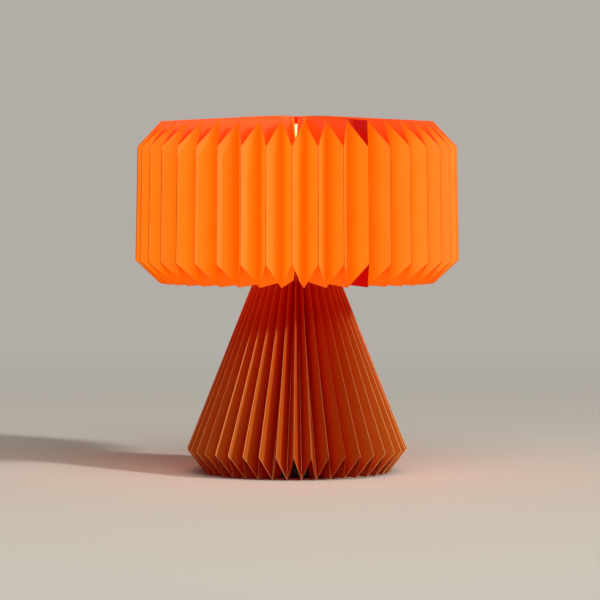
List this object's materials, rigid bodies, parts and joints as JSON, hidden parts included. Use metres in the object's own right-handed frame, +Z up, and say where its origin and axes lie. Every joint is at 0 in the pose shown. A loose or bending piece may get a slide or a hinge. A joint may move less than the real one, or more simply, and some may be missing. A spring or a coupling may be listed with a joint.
{
  "type": "folding origami lamp",
  "caption": "Mushroom-shaped table lamp of pleated, reverse-folded orange paper: a lift-off drum shade on a tapering base, with a cordless LED head and push button inside.",
  "frame": {"origin": "on the floor under the middle of the lamp, level with the undersides of the feet", "axes": "+Z up along the stem, -Y towards the viewer of the picture, +X to the viewer's right"},
  "size_m": [0.3018, 0.3018, 0.333],
  "materials": {
    "shade_paper": "matt dyed paper, lit from inside",
    "seam_paper": "matt dyed paper, doubled at the seam",
    "base_paper": "matt dyed paper",
    "tray_plastic": "fine moulded texture",
    "plated_steel": "zinc plated",
    "foot_rubber": "matt rubber",
    "ballast_steel": "black oxide",
    "cell_wrap": "shrink sleeve",
    "board_green": "solder resist",
    "socket_steel": "plain",
    "stem_steel": "white powder coat",
    "cap_plastic": "moulded",
    "wire_sleeve": "sleeved wire",
    "head_aluminium": "turned",
    "board_white": "white solder resist",
    "led_yellow": "phosphor",
    "opal_plastic": "opal, lit from inside",
    "switch_black": "moulded",
    "button_orange": "moulded, satin"
  },
  "bodies": {
    "base": {"base_sheet_right": "base_paper", "base_sheet_left": "base_paper", "base_lap_front": "base_paper", "base_lap_back": "base_paper", "base_tray": "tray_plastic", "tray_lid": "tray_plastic", "cell_chocks": "tray_plastic", "lid_screws": "plated_steel", "stem_washer": "plated_steel", "stem_nuts": "plated_steel", "neck_nut": "plated_steel", "rubber_feet": "foot_rubber", "ballast_plate": "ballast_steel", "battery_cells": "cell_wrap", "charge_board": "board_green", "usb_socket": "socket_steel", "stem_tube": "stem_steel", "neck_cap": "cap_plastic", "lamp_wires": "wire_sleeve", "heat_sink": "head_aluminium", "led_board": "board_white", "led_chips": "led_yellow", "diffuser": "opal_plastic", "board_parts": "switch_black", "switch_body": "switch_black"},
    "shade": {"shade_sheet_right": "shade_paper", "shade_sheet_left": "shade_paper", "shade_lap_front": "seam_paper", "shade_lap_back": "seam_paper"},
    "button": {"button": "button_orange", "switch_plunger": "switch_black"}
  },
  "joints": [
    {"name": "shade_lift", "type": "slide", "parent": "base", "child": "shade", "axis": [0, 0, 1], "range_m": [0, 0.175]},
    {"name": "button_press", "type": "slide", "parent": "base", "child": "button", "axis": [0, 0, -1], "range_m": [0, 0.001], "stiffness_N_per_m": 1500, "springref_m": -0.0004}
  ]
}
